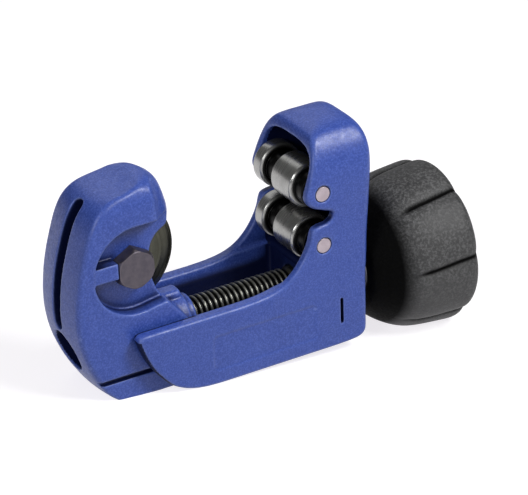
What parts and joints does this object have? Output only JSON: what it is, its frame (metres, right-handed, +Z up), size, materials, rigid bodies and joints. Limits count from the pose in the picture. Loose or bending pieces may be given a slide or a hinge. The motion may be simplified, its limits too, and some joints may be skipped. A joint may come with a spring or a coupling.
{
  "type": "pipe cutter",
  "caption": "Hand pipe cutter: cast frame with a roller pair under a hood, a sliding cast jaw carrying a cutting wheel, and a feed spindle turned by a lobed knob.",
  "frame": {"origin": "on the frame's base plane, below the common plane of the two roller pins, in the middle of the width", "axes": "+X along the feed spindle towards the knob, +Y across the tool along the roller pins, +Z up from the base through the two roller pins"},
  "size_m": [0.1129, 0.0424, 0.067],
  "materials": {
    "blue_paint": "blue textured powder coat on die-cast metal",
    "black_steel": "black-oxide steel, semi-gloss",
    "plain_steel": "zinc-plated steel",
    "pin_steel": "plain ground steel pin",
    "wheel_steel": "hardened tool steel, dark turned finish",
    "bolt_steel": "dark phosphated steel",
    "bronze": "sintered bronze",
    "black_plastic": "black spark-eroded texture, matt"
  },
  "bodies": {
    "frame_body": {"frame": "blue_paint", "upper_roller_pin": "pin_steel", "lower_roller_pin": "pin_steel", "retaining_key": "plain_steel", "thrust_washer": "plain_steel"},
    "jaw_body": {"jaw": "blue_paint", "axle_bolt": "bolt_steel", "axle_nut": "bolt_steel", "axle_spring_washer": "plain_steel", "wheel_bush": "bronze", "wheel_shim_near": "plain_steel", "wheel_shim_far": "plain_steel"},
    "spindle_body": {"spindle": "black_steel", "spindle_stop_ring": "black_steel", "knob_hub": "plain_steel", "knob": "black_plastic", "knob_washer": "plain_steel", "knob_screw": "plain_steel", "knob_end_cap": "black_plastic"},
    "wheel_body": {"cutter_wheel": "wheel_steel"},
    "upper_roller_body": {"upper_roller": "black_steel"},
    "lower_roller_body": {"lower_roller": "black_steel"}
  },
  "joints": [
    {"name": "knob_turn", "type": "hinge", "parent": "frame_body", "child": "spindle_body", "pos_m": [0.03, 0, 0.0141], "axis": [-1, 0, 0], "range_deg": [-481, 6481]},
    {"name": "jaw_slide", "type": "slide", "parent": "frame_body", "child": "jaw_body", "axis": [1, 0, 0], "range_m": [-0.002, 0.027]},
    {"name": "cutter_wheel_spin", "type": "hinge", "parent": "jaw_body", "child": "wheel_body", "pos_m": [-0.0505, 0, 0.0358], "axis": [0, 1, 0], "continuous": true},
    {"name": "upper_roller_spin", "type": "hinge", "parent": "frame_body", "child": "upper_roller_body", "pos_m": [0, 0, 0.0437], "axis": [0, 1, 0], "continuous": true},
    {"name": "lower_roller_spin", "type": "hinge", "parent": "frame_body", "child": "lower_roller_body", "pos_m": [0, 0, 0.0294], "axis": [0, 1, 0], "continuous": true}
  ],
  "couplings": [
    {"joint": "knob_turn", "follows": "jaw_slide", "rad_per_m": 4188.8}
  ]
}
